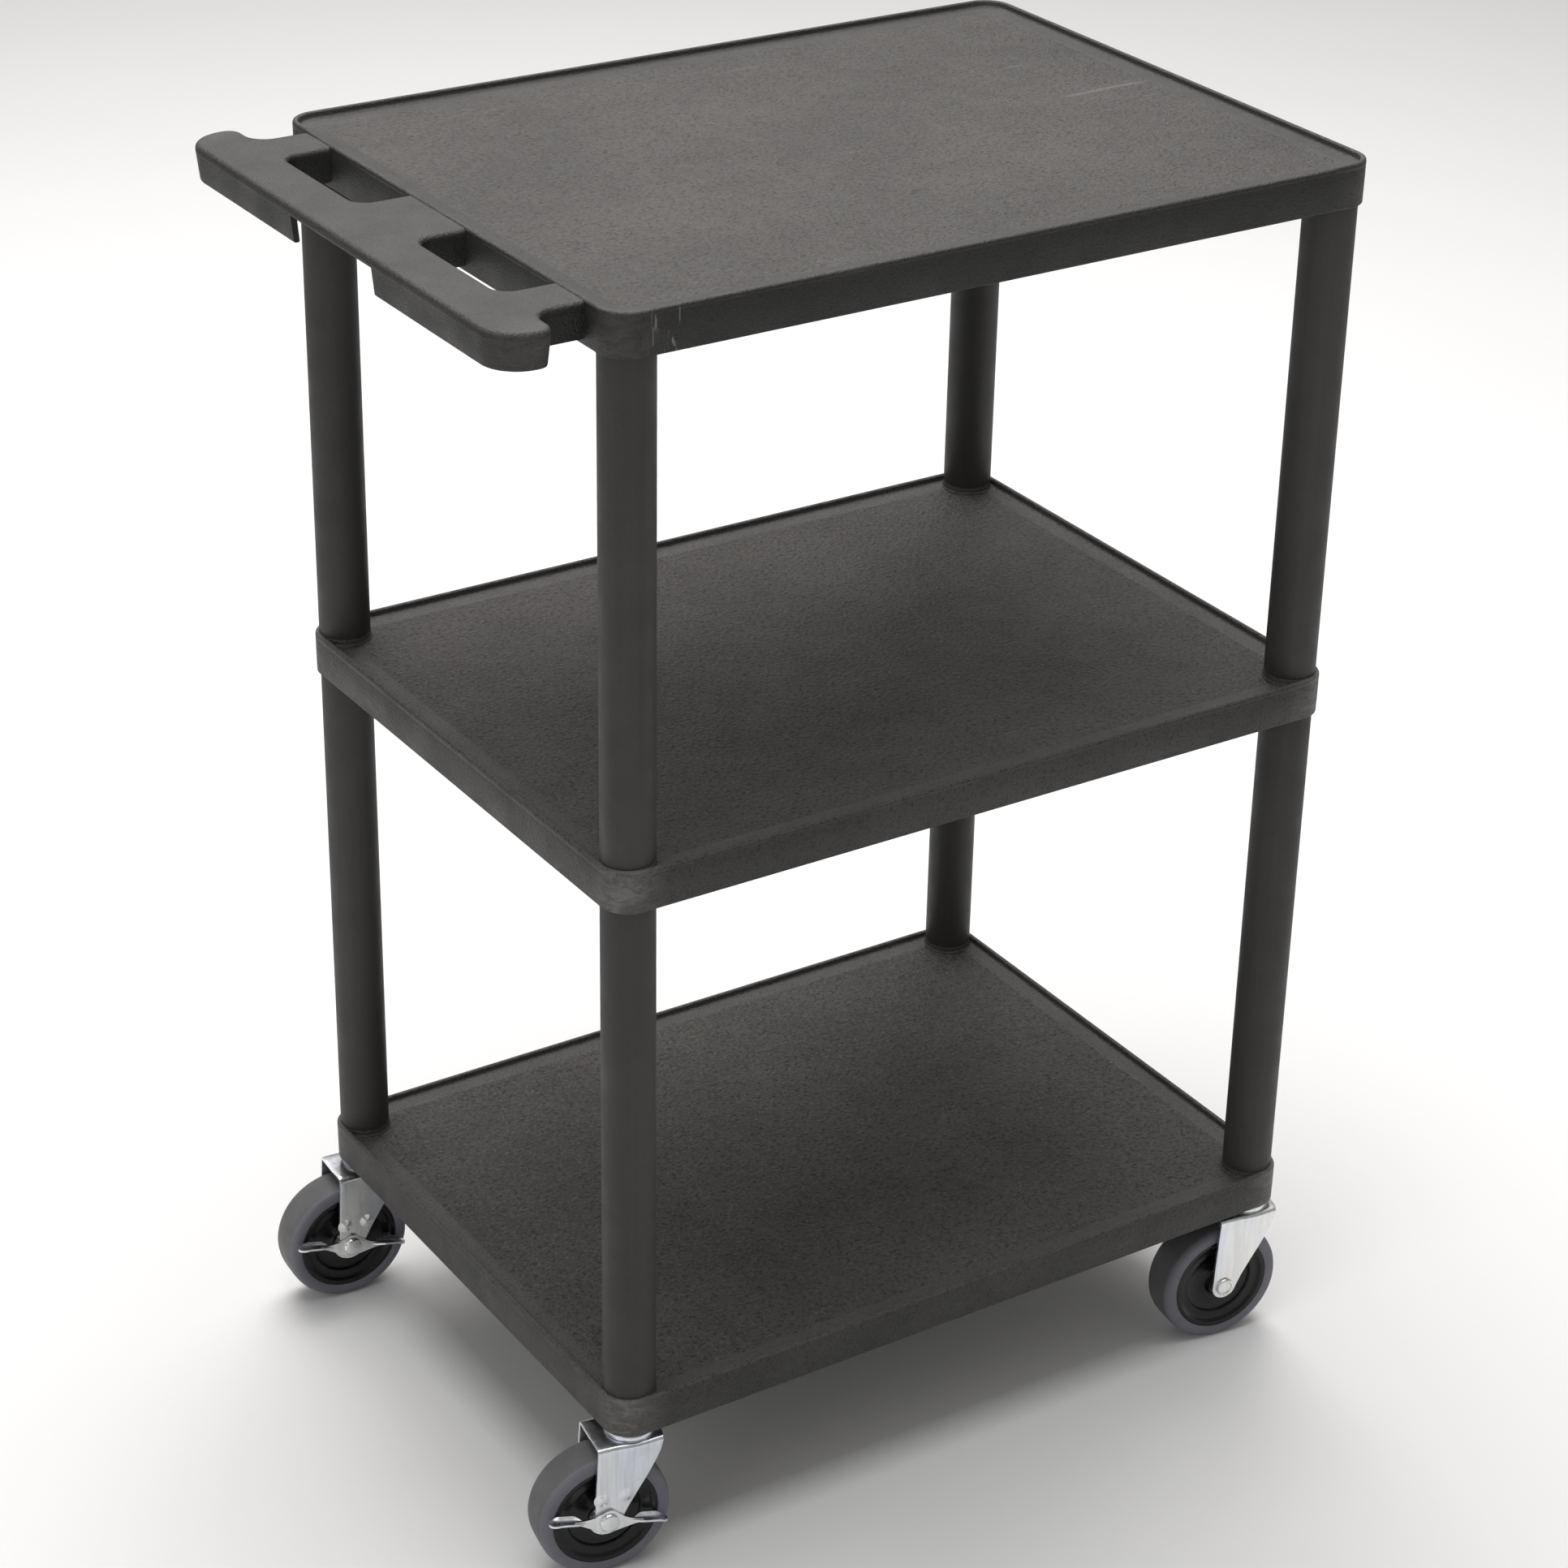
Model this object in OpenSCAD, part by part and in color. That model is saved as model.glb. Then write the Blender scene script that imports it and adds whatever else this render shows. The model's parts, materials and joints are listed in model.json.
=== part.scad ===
// Three-shelf rolling utility cart. Millimetres, +Z up.
// Origin: on the floor, under the middle of the cart with its handle.
// X runs along the length with the handle at -X; the flush long side faces -Y.

/* [Shelves] */
// Length of a shelf, without the handle
shelf_l = 609.6; // [560:0.1:700]
// Width of a shelf
shelf_w = 457.2; // [400:0.1:520]
// Depth of a shelf's outer skirt
skirt_h = 32; // [28:1:40]
// Radius of a shelf's corners, seen from above
corner_r = 22; // [21:0.5:26]
// Height of the retaining lip above the tray floor
lip_h = 5; // [4:0.5:7]
// Thickness of the retaining lip
lip_t = 4; // [3:0.5:5]
// How far the flush edges lie below the top of the lip
flush_drop = 1; // [0.5:0.5:2]
// Width of the slope between a flush edge and the tray floor
flush_slope = 16; // [10:1:20]

/* [Heights] */
// Top of the bottom shelf's lip above the floor
bottom_top = 152; // [152:1:154]
// Distance between the bottom and the middle shelf
lower_pitch = 430; // [300:1:460]
// Distance between the middle and the top shelf
upper_pitch = 392; // [300:1:460]

/* [Handle] */
// How far the handle stands out from the shelf
handle_reach = 78; // [70:1:90]
// Width of the handle's grip bar
grip_w = 41; // [36:1:44]
// Length of each hand slot
slot_l = 113; // [100:1:120]
// Width of the middle neck between the slots
neck_w = 80; // [60:1:90]
// Depth of the handle's skirt below the top of the lip
handle_h = 28; // [24:1:31]
// Length of the gap in the handle's skirt
grip_gap = 108; // [80:1:120]

/* [Legs] */
// Outer radius of a leg tube
leg_r = 19.05; // [18:0.05:19.4]
// Wall thickness of a leg tube
leg_t = 3.2; // [2.5:0.1:4]

/* [Casters] */
// Wheel radius
wheel_r = 50.8; // [49:0.1:51]
// Wheel width
wheel_w = 31.75; // [29:0.05:32]
// Distance from the swivel axis back to the axle
trail = 24; // [20:1:27]
// How each caster is turned about its stem, in the order of CORNERS
turn_handle_near = 10; // [0:1:15]
// Turn of the far caster at the handle end
turn_handle_far = 4; // [0:1:15]
// Turn of the near caster at the plain end
turn_end_near = 8; // [0:1:15]
// Turn of the far caster at the plain end
turn_end_far = 5; // [0:1:15]
// Tilt of the brake pedals in the released position
pedal_tilt = 12; // [8:1:14]

/* [Hidden] */
$fn = 64;

eps = 0.01;
over = 1;                                  // how far a cut runs past a face
fit_gap = 0.05;                            // clearance of a moulded or pressed fit
run_gap = 0.06;                            // radial clearance of a running fit
gap = 0.3;                                 // space between faces that turn past each other

plastic = "#3b3937";
leg_plastic = "#343230";
zinc = "#b9bcc0";
hub_plastic = "#121213";
rubber = "#6b6a72";

// Shelves
plate_t = 6;
skirt_t = 4;
rib_t = 3;
rib_h = 8;                                 // ribs below the plate
ribs_x = 6;
ribs_y = 4;
shelf_x = handle_reach / 2;                // middle of the shelves
floor_z = -lip_h;                          // tray floor below the top of the lip
plate_z = floor_z - plate_t;               // underside of the plate
middle_top = bottom_top + lower_pitch;
top_top = middle_top + upper_pitch;
stem_x = shelf_l / 2 - corner_r;
stem_y = shelf_w / 2 - corner_r;
CORNERS = [[-1, -1], [-1, 1], [1, -1], [1, 1]];
TURNS = [turn_handle_near, turn_handle_far, turn_end_near, turn_end_far];

// Handle
handle_drop = 2;                           // handle's top below the top of the lip
handle_plate_t = 7;
handle_wall = 4.5;
handle_inset = 3;                          // skirt's step back from the plate's edge
handle_half = shelf_w / 2 - 4;
ear_r = 28;
ear_inner_r = 11;
notch_r = 14;
slot_r = 12;
neck_in = neck_w / 2;
neck_out = neck_in + slot_l;
end_neck_w = 40;
notch_y = neck_out + end_neck_w;

// Leg joints
spigot_r = leg_r - leg_t - fit_gap;
spigot_h = 28;
socket_r = leg_r + fit_gap;
socket_z = plate_z - 2;                    // roof of a leg socket

// Casters, heights above the floor
skirt_bottom = bottom_top - skirt_h;
fork_t = 2.5;
fork_top = skirt_bottom - 6;
fork_gap = 36;
fork_w = fork_gap + 2 * fork_t;
fork_back = 7;                             // fork behind the axle, at the top
fork_front = trail + 19;                   // fork ahead of the axle, at the top
fork_end_r = 10.5;
stem_r = 5.55;
kingpin_hole_r = stem_r + run_gap;
ball_r = 1.6;
ball_n = 14;
race_r = 12;
race_groove_r = ball_r + 0.1;
race_z = fork_top + 1.2;
cap_r = 19;
cap_z = race_z + 1.2;
cap_rim_t = 1.6;
sleeve_r = 8.45;
sleeve_top = bottom_top - lip_h - 1;
stem_top = sleeve_top - 2;
ring_z = stem_top - 8;
ring_h = 2.6;
ring_r = 5.95;
ring_bore_r = 4.7;
ring_split = 1.6;
pin_head_r = 9;
pin_head_t = 2;
pin_head_cone = 1.5;
stem_chamfer = 1;
axle_r = 4;
bush_r = 6.4;
hub_r = 40.5;
hub_bore_r = bush_r + run_gap;
hub_boss_w = 33;
tread_round = 5;
head_r = 7.3;
head_t = 2.6;
head_chamfer = 0.8;
head_rim = 2.4;                            // raised rim round the dip in a plain bolt's head
nut_af = 12.7;
nut_t = 5;
washer_r = 14;
washer_t = 0.9;
pedal_t = 1.8;
pedal_y = fork_w / 2 + 0.4;                // inner face of the pedal's plate
pedal_half = 46;
plate_half = 27;                           // half length of the pedal's diamond plate
plate_rise = 9.5;                          // its height above the axle
plate_fall = 9;                            // its depth below the axle
plate_tip = 1.2;
plate_flat = 3;
pad_start = 24;
pad_t = 2.4;
pad_round = 4;
pad_in = 17.8;
pad_out = 27;
dimple_r = 6;
dimple_h = 1.1;
DIMPLES = [[-2.5, 19], [12.5, 20]];        // ahead of the axle and above it

// Point where a line from p touches a circle of radius r about the origin
function touch(p, r, side) =
    let (a = atan2(p.y, p.x) + side * acos(r / norm(p))) [r * cos(a), r * sin(a)];

module rounded_rect(l, w, r) {
    square([l, w - 2 * r], center = true);
    square([l - 2 * r, w], center = true);
    for (sx = [-1, 1], sy = [-1, 1])
        translate([sx * (l / 2 - r), sy * (w / 2 - r)]) circle(r);
}

module at_corners() {
    for (c = CORNERS) translate([c.x * stem_x, c.y * stem_y, 0]) children();
}

// Shallow wedge that opens the tray towards a flush edge at y = -half
module flush_cut(half, length) {
    rotate([90, 0, 90])
        linear_extrude(length, center = true)
            polygon([[-half - over, -flush_drop], [-half + 2, -flush_drop],
                     [-half + 2 + flush_slope, floor_z - eps], [-half + 2 + flush_slope, over],
                     [-half - over, over]]);
}

// Tray recess, with flush edges on the near side and, if asked, at the handle end
module tray_cut(flush_end) {
    near = flush_slope + 2;
    end = flush_end ? near : lip_t;
    inner_l = shelf_l - lip_t - end;
    inner_w = shelf_w - lip_t - near;
    translate([(end - lip_t) / 2, (near - lip_t) / 2, floor_z])
        linear_extrude(lip_h + over) rounded_rect(inner_l, inner_w, corner_r - near / 2);
    translate([(end - lip_t) / 2, 0, 0]) flush_cut(shelf_w / 2, inner_l);
    if (flush_end) {
        rotate([0, 0, -90]) translate([(lip_t - near) / 2, 0, 0]) flush_cut(shelf_l / 2, inner_w);
        // mitred corner between the two flush edges
        intersection() {
            flush_cut(shelf_w / 2, 2 * shelf_l);
            rotate([0, 0, -90]) flush_cut(shelf_l / 2, 2 * shelf_w);
        }
    }
}

// Grid of stiffening ribs under the plate
module ribs() {
    rib_z = plate_z - rib_h;
    for (i = [1:ribs_x])
        translate([-shelf_l / 2 + i * shelf_l / (ribs_x + 1) - rib_t / 2, -shelf_w / 2 + 1, rib_z])
            cube([rib_t, shelf_w - 2, plate_z - rib_z + 1]);
    for (i = [1:ribs_y])
        translate([-shelf_l / 2 + 1, -shelf_w / 2 + i * shelf_w / (ribs_y + 1) - rib_t / 2, rib_z])
            cube([shelf_l - 2, rib_t, plate_z - rib_z + 1]);
}

// Shelf with its skirt, lip, ribs and corner blocks; z = 0 is the top of the lip
module shelf_shell(flush_end) {
    difference() {
        translate([0, 0, -skirt_h]) linear_extrude(skirt_h) rounded_rect(shelf_l, shelf_w, corner_r);
        tray_cut(flush_end);
        translate([0, 0, -skirt_h - over])
            linear_extrude(skirt_h + plate_z + over)
                rounded_rect(shelf_l - 2 * skirt_t, shelf_w - 2 * skirt_t, corner_r - skirt_t);
    }
    ribs();
    at_corners() translate([0, 0, -skirt_h]) cylinder(r = corner_r, h = skirt_h + plate_z + 1);
}

// Blind socket from below that takes the top of a leg
module leg_socket() {
    translate([0, 0, -skirt_h - over]) cylinder(r = socket_r, h = skirt_h + socket_z + over);
}

// Collar and spigot that the foot of a leg stands on and fits over
module leg_foot() {
    translate([0, 0, plate_z]) cylinder(r = leg_r, h = -plate_z);
    translate([0, 0, -1]) cylinder(r = spigot_r, h = spigot_h + 1);
    translate([0, 0, spigot_h]) cylinder(r1 = spigot_r, r2 = spigot_r - 2, h = 2);
}

// Half of the handle seen from above: x outwards from the shelf's face, y from the middle
module handle_half_outline() {
    inner = handle_reach - grip_w;
    // grip bar up to its rounded ear
    translate([inner, -eps]) square([grip_w, handle_half - ear_r + eps]);
    translate([inner, 0]) square([ear_inner_r, handle_half - ear_inner_r]);
    translate([inner + ear_inner_r, 0])
        square([grip_w - ear_inner_r - ear_r, handle_half]);
    translate([handle_reach - ear_r, handle_half - ear_r]) circle(ear_r);
    translate([inner + ear_inner_r, handle_half - ear_inner_r]) circle(ear_inner_r);
    // middle neck and end neck
    translate([-lip_t, -eps]) square([inner + lip_t + 1, neck_in + eps]);
    translate([-lip_t, neck_out]) square([inner + lip_t + 1, end_neck_w]);
    // rounded corners of the hand slot and of the notch
    corner_fill(inner, neck_in, slot_r, 1);
    corner_fill(inner, neck_out, slot_r, -1);
    corner_fill(inner, notch_y, notch_r, 1);
}

// Concave fillet in the corner between a neck's side at y and the grip bar at x
module corner_fill(x, y, r, side) {
    difference() {
        translate([x - r, side > 0 ? y - eps : y - r]) square([r + eps, r + eps]);
        translate([x - r, y + side * r]) circle(r);
    }
}

module handle_outline() {
    handle_half_outline();
    mirror([0, 1]) handle_half_outline();
}

// Hollow under the handle: inside of the grip bar and of the necks
module handle_pocket() {
    inner = handle_reach - grip_w;
    bar_w = grip_w - 2 * handle_wall - handle_inset;
    translate([inner + handle_wall + bar_w / 2, 0])
        rounded_rect(bar_w, 2 * (handle_half - handle_wall - handle_inset), bar_w / 2 - 1);
    translate([skirt_t, -neck_in + handle_wall])
        square([inner + handle_wall, neck_w - 2 * handle_wall]);
    for (s = [-1, 1])
        translate([skirt_t, s * (neck_out + end_neck_w / 2) - end_neck_w / 2 + handle_wall])
            square([inner + handle_wall, end_neck_w - 2 * handle_wall]);
}

// Handle, x outwards from the shelf's face, z = 0 at the top of the lip
module handle_shell() {
    plate_low = -handle_drop - handle_plate_t;
    difference() {
        union() {
            translate([0, 0, plate_low]) linear_extrude(handle_plate_t) handle_outline();
            translate([0, 0, -handle_h])
                linear_extrude(handle_h + plate_low + eps) intersection() {
                    handle_outline();
                    rounded_rect(2 * (handle_reach - handle_inset), 2 * (handle_half - handle_inset),
                                 ear_r - handle_inset);
                }
        }
        translate([0, 0, -handle_h - over])
            linear_extrude(handle_h + plate_low + over) handle_pocket();
        translate([handle_reach - handle_wall - handle_inset - over, -grip_gap / 2, -handle_h - over])
            cube([handle_wall + handle_inset + 2 * over, grip_gap, handle_h + plate_low + over]);
    }
}

module top_shelf() {
    color(plastic) translate([shelf_x, 0, top_top]) difference() {
        union() {
            shelf_shell(true);
            translate([-shelf_l / 2, 0, 0]) rotate([0, 0, 180]) handle_shell();
        }
        at_corners() leg_socket();
    }
}

module middle_shelf() {
    color(plastic) translate([shelf_x, 0, middle_top]) {
        difference() {
            shelf_shell(false);
            at_corners() leg_socket();
        }
        at_corners() leg_foot();
    }
}

module bottom_shelf() {
    color(plastic) translate([shelf_x, 0, bottom_top]) difference() {
        union() {
            shelf_shell(false);
            at_corners() leg_foot();
        }
        at_corners() translate([0, 0, -skirt_h - over])
            cylinder(r = sleeve_r + fit_gap, h = sleeve_top - skirt_bottom + over);
    }
}

// Leg tube i, from the collar of the shelf below to the roof of the socket above
module leg(i, low, high) {
    h = high + socket_z - low;
    color(leg_plastic)
        translate([shelf_x + CORNERS[i].x * stem_x, CORNERS[i].y * stem_y, low]) difference() {
            cylinder(r = leg_r, h = h);
            translate([0, 0, -over]) cylinder(r = leg_r - leg_t, h = h + 2 * over);
        }
}

module upper_leg(i) leg(i, middle_top, top_top);
module lower_leg(i) leg(i, bottom_top, middle_top);

// Places a caster part: the stem's axis becomes z, and the wheel trails towards -x
module at_caster(i) {
    translate([shelf_x + CORNERS[i].x * stem_x, CORNERS[i].y * stem_y, 0])
        rotate([0, 0, -TURNS[i]]) children();
}

// Places a part on a caster's axle: z becomes the axle, towards the pedal side
module at_axle(i) {
    at_caster(i) translate([-trail, 0, wheel_r]) rotate([90, 0, 0]) children();
}

module stem_sleeves() {
    color(zinc) for (i = [0:3]) at_caster(i) translate([0, 0, skirt_bottom]) difference() {
        cylinder(r = sleeve_r, h = sleeve_top - skirt_bottom);
        translate([0, 0, -over]) cylinder(r = ring_r + fit_gap, h = stem_top + over - skirt_bottom + over);
    }
}

// Split spring rings that hold the stems in their sleeves
module grip_rings() {
    color(zinc) for (i = [0:3]) at_caster(i) translate([0, 0, ring_z + 0.2]) difference() {
        cylinder(r = ring_r, h = ring_h - 0.4);
        translate([0, 0, -over]) cylinder(r = ring_bore_r, h = ring_h + 2 * over);
        translate([0, -ring_split / 2, -over]) cube([ring_r + over, ring_split, ring_h + 2 * over]);
    }
}

// Stem with its grip-ring groove above, and the riveted head under the fork
module kingpin(i) {
    under = fork_top - fork_t - gap;
    color(zinc) at_caster(i) difference() {
        union() {
            translate([0, 0, under - 1]) cylinder(r = stem_r, h = stem_top - stem_chamfer - under + 1);
            translate([0, 0, stem_top - stem_chamfer])
                cylinder(r1 = stem_r, r2 = stem_r - stem_chamfer, h = stem_chamfer);
            translate([0, 0, under - pin_head_t]) cylinder(r = pin_head_r, h = pin_head_t);
            translate([0, 0, under - pin_head_t - pin_head_cone])
                cylinder(r1 = pin_head_r - 2, r2 = pin_head_r, h = pin_head_cone);
        }
        translate([0, 0, ring_z]) difference() {
            cylinder(r = stem_r + over, h = ring_h);
            translate([0, 0, -over]) cylinder(r = ring_bore_r - fit_gap, h = ring_h + 2 * over);
        }
    }
}

module race_groove() {
    translate([0, 0, race_z]) rotate_extrude() translate([race_r, 0]) circle(race_groove_r, $fn = 32);
}

// Upper half of the swivel bearing, fixed to the stem
module raceway_cap(i) {
    color(zinc) at_caster(i) difference() {
        union() {
            translate([0, 0, cap_z]) cylinder(r = cap_r, h = skirt_bottom - cap_z);
            translate([0, 0, fork_top + gap]) difference() {
                cylinder(r = cap_r, h = cap_z - fork_top);
                translate([0, 0, -over]) cylinder(r = cap_r - cap_rim_t, h = cap_z - fork_top + over);
            }
        }
        race_groove();
        translate([0, 0, cap_z - over]) cylinder(r = stem_r + fit_gap, h = skirt_bottom - cap_z + 2 * over);
    }
}

module bearing_balls(i) {
    color(zinc) at_caster(i) for (a = [0:ball_n - 1])
        rotate([0, 0, a * 360 / ball_n]) translate([race_r, 0, race_z]) sphere(ball_r, $fn = 24);
}

// Side plate of a fork: x ahead of the axle, y above it. Its edges run just inside a tangent to the round end
module fork_side_outline() {
    top = fork_top - wheel_r;
    knee = [fork_front - 12, top - 30];
    back = [-fork_back, top];
    edge_r = fork_end_r - 0.4;
    polygon([back, [fork_front, top], [fork_front - 4.5, top - 16], knee,
             touch(knee, edge_r, -1), [0, 0], touch(back, edge_r, 1)]);
    circle(fork_end_r);
}

// Pressed yoke: two side plates under a top plate that holds the lower raceway
module fork(i) {
    has_brake = i < 2;
    color(zinc) difference() {
        union() {
            for (s = [0, 1])
                at_axle(i) translate([0, 0, s == 1 ? fork_gap / 2 : -fork_w / 2])
                    linear_extrude(fork_t) fork_side_outline();
            at_caster(i) translate([-trail - fork_back, -fork_w / 2, fork_top - fork_t])
                cube([fork_front + fork_back, fork_w, fork_t]);
            if (has_brake) at_axle(i) brake_dimples();
        }
        at_caster(i) race_groove();
        at_caster(i) translate([0, 0, fork_top - fork_t - over])
            cylinder(r = kingpin_hole_r, h = fork_t + 2 * over);
        at_axle(i) translate([0, 0, -fork_w / 2 - over])
            cylinder(r = axle_r + fit_gap, h = fork_w + 2 * over);
    }
}

// Two pressed bumps above the pedal that its cams ride over
module brake_dimples() {
    ball = (dimple_r * dimple_r + dimple_h * dimple_h) / (2 * dimple_h);
    for (p = DIMPLES)
        translate([p.x, p.y, fork_w / 2 - ball + dimple_h]) intersection() {
            sphere(ball);
            translate([0, 0, ball - dimple_h - 0.5]) cylinder(r = dimple_r + 1, h = 3);
        }
}

// Bolt through fork, bush and, on the handle end, the brake pedal; its head is on the -Y side
module axle_bolt(i) {
    seat = i < 2 ? pedal_y + pedal_t + gap : fork_w / 2;
    tail = fork_w / 2 + nut_t + 1.5;
    color(zinc) at_axle(i) difference() {
        union() {
            translate([0, 0, -tail]) cylinder(r = axle_r, h = tail + seat + 1);
            translate([0, 0, seat]) cylinder(r = head_r, h = head_t - head_chamfer);
            translate([0, 0, seat + head_t - head_chamfer])
                cylinder(r1 = head_r, r2 = head_r - 1, h = head_chamfer);
        }
        if (i >= 2) translate([0, 0, seat + head_t - 1]) cylinder(r = head_r - head_rim, h = 2);
    }
}

module axle_nut(i) {
    color(zinc) at_axle(i) translate([0, 0, -fork_w / 2 - nut_t]) difference() {
        cylinder(d = nut_af / cos(30), h = nut_t, $fn = 6);
        translate([0, 0, -over]) cylinder(r = axle_r + fit_gap, h = nut_t + 2 * over);
    }
}

// Steel bush clamped between the fork's sides, on which the hub turns
module axle_bush(i) {
    color(zinc) at_axle(i) difference() {
        cylinder(r = bush_r, h = fork_gap, center = true);
        cylinder(r = axle_r + fit_gap, h = fork_gap + 2 * over, center = true);
    }
}

// Hub with a rim, a recessed stepped web on both faces and a centre boss
module wheel_hub(i) {
    half = wheel_w / 2 - 1;
    color(hub_plastic) at_axle(i) rotate_extrude($fn = 96)
        polygon([[hub_bore_r, -hub_boss_w / 2], [10.5, -hub_boss_w / 2], [12, -half + 4.5],
                 [27, -half + 6], [28.5, -half + 3.5], [35, -half + 3], [37, -half], [hub_r, -half],
                 [hub_r, half], [37, half], [35, half - 3], [28.5, half - 3.5],
                 [27, half - 6], [12, half - 4.5], [10.5, hub_boss_w / 2], [hub_bore_r, hub_boss_w / 2]]);
}

// Rubber tread: a flat-sided ring with round shoulders
module wheel_tread(i) {
    half = wheel_w / 2;
    color(rubber) at_axle(i) rotate_extrude($fn = 96) {
        translate([hub_r + eps, -half]) square([wheel_r - tread_round - hub_r - eps, wheel_w]);
        translate([hub_r + eps, -half + tread_round])
            square([wheel_r - hub_r - eps, wheel_w - 2 * tread_round]);
        for (s = [-1, 1])
            translate([wheel_r - tread_round, s * (half - tread_round)]) circle(tread_round);
    }
}

// See-saw pedal: a diamond plate on the axle with a foot pad on each wing
module brake_pedal(i) {
    color(zinc) at_axle(i) rotate([0, 0, -pedal_tilt]) difference() {
        union() {
            translate([0, 0, pedal_y]) linear_extrude(pedal_t)
                polygon([[-plate_half, plate_tip], [-plate_flat, plate_rise], [plate_flat, plate_rise],
                         [plate_half, plate_tip], [plate_half, -plate_tip], [plate_flat, -plate_fall],
                         [-plate_flat, -plate_fall], [-plate_half, -plate_tip]]);
            for (s = [-1, 1])
                translate([s * (pedal_half + pad_start) / 2, 0, (pad_in + pad_out) / 2]) rotate([90, 0, 0])
                    linear_extrude(pad_t, center = true)
                        rounded_rect(pedal_half - pad_start, pad_out - pad_in, pad_round);
        }
        translate([0, 0, pedal_y - over]) cylinder(r = axle_r + run_gap, h = pedal_t + 2 * over);
    }
}

// Friction washer between the fork and the hub on the brake side
module brake_washer(i) {
    color(zinc) at_axle(i) translate([0, 0, fork_gap / 2 - washer_t]) difference() {
        cylinder(r = washer_r, h = washer_t);
        translate([0, 0, -over]) cylinder(r = bush_r + fit_gap, h = washer_t + 2 * over);
    }
}

top_shelf();
middle_shelf();
bottom_shelf();
upper_leg(0);  // upper_leg_handle_near
upper_leg(1);  // upper_leg_handle_far
upper_leg(2);  // upper_leg_end_near
upper_leg(3);  // upper_leg_end_far
lower_leg(0);  // lower_leg_handle_near
lower_leg(1);  // lower_leg_handle_far
lower_leg(2);  // lower_leg_end_near
lower_leg(3);  // lower_leg_end_far
stem_sleeves();
grip_rings();
kingpin(0);  // kingpin_handle_near
kingpin(1);  // kingpin_handle_far
kingpin(2);  // kingpin_end_near
kingpin(3);  // kingpin_end_far
raceway_cap(0);  // raceway_cap_handle_near
raceway_cap(1);  // raceway_cap_handle_far
raceway_cap(2);  // raceway_cap_end_near
raceway_cap(3);  // raceway_cap_end_far
bearing_balls(0);  // bearing_balls_handle_near
bearing_balls(1);  // bearing_balls_handle_far
bearing_balls(2);  // bearing_balls_end_near
bearing_balls(3);  // bearing_balls_end_far
fork(0);  // fork_handle_near
fork(1);  // fork_handle_far
fork(2);  // fork_end_near
fork(3);  // fork_end_far
axle_bolt(0);  // axle_bolt_handle_near
axle_bolt(1);  // axle_bolt_handle_far
axle_bolt(2);  // axle_bolt_end_near
axle_bolt(3);  // axle_bolt_end_far
axle_nut(0);  // axle_nut_handle_near
axle_nut(1);  // axle_nut_handle_far
axle_nut(2);  // axle_nut_end_near
axle_nut(3);  // axle_nut_end_far
axle_bush(0);  // axle_bush_handle_near
axle_bush(1);  // axle_bush_handle_far
axle_bush(2);  // axle_bush_end_near
axle_bush(3);  // axle_bush_end_far
wheel_hub(0);  // wheel_hub_handle_near
wheel_hub(1);  // wheel_hub_handle_far
wheel_hub(2);  // wheel_hub_end_near
wheel_hub(3);  // wheel_hub_end_far
wheel_tread(0);  // wheel_tread_handle_near
wheel_tread(1);  // wheel_tread_handle_far
wheel_tread(2);  // wheel_tread_end_near
wheel_tread(3);  // wheel_tread_end_far
brake_pedal(0);  // brake_pedal_handle_near
brake_pedal(1);  // brake_pedal_handle_far
brake_washer(0);  // brake_washer_handle_near
brake_washer(1);  // brake_washer_handle_far
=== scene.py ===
import json
import math

import bmesh
import bpy
from mathutils import Matrix, Vector


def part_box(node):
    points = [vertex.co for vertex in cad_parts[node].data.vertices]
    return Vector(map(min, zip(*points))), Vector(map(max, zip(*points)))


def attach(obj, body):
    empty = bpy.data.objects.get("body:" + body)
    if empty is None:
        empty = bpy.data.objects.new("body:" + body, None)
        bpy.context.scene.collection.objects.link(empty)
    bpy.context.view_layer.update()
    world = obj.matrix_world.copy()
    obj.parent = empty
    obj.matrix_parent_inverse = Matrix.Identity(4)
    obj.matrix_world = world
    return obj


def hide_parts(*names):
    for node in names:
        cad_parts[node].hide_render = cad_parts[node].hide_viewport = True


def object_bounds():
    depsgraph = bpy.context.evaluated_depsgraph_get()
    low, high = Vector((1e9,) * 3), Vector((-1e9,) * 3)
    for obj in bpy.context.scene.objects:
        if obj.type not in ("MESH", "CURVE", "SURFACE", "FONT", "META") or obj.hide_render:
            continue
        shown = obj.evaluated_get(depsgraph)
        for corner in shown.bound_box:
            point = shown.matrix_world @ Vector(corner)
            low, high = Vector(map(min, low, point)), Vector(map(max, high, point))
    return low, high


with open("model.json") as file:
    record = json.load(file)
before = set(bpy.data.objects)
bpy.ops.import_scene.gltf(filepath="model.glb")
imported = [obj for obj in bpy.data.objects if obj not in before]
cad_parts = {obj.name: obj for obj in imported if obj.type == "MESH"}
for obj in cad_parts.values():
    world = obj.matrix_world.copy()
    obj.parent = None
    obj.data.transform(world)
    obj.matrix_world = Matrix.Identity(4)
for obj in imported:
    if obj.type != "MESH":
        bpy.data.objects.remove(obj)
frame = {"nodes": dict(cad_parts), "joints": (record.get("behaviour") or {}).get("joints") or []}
cad_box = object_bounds()

MM = 0.001
CORNERS = ("handle_near", "handle_far", "end_near", "end_far")
BRAKED = ("handle_near", "handle_far")
JOINTS = {j["name"]: j for j in frame["joints"]}

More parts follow.
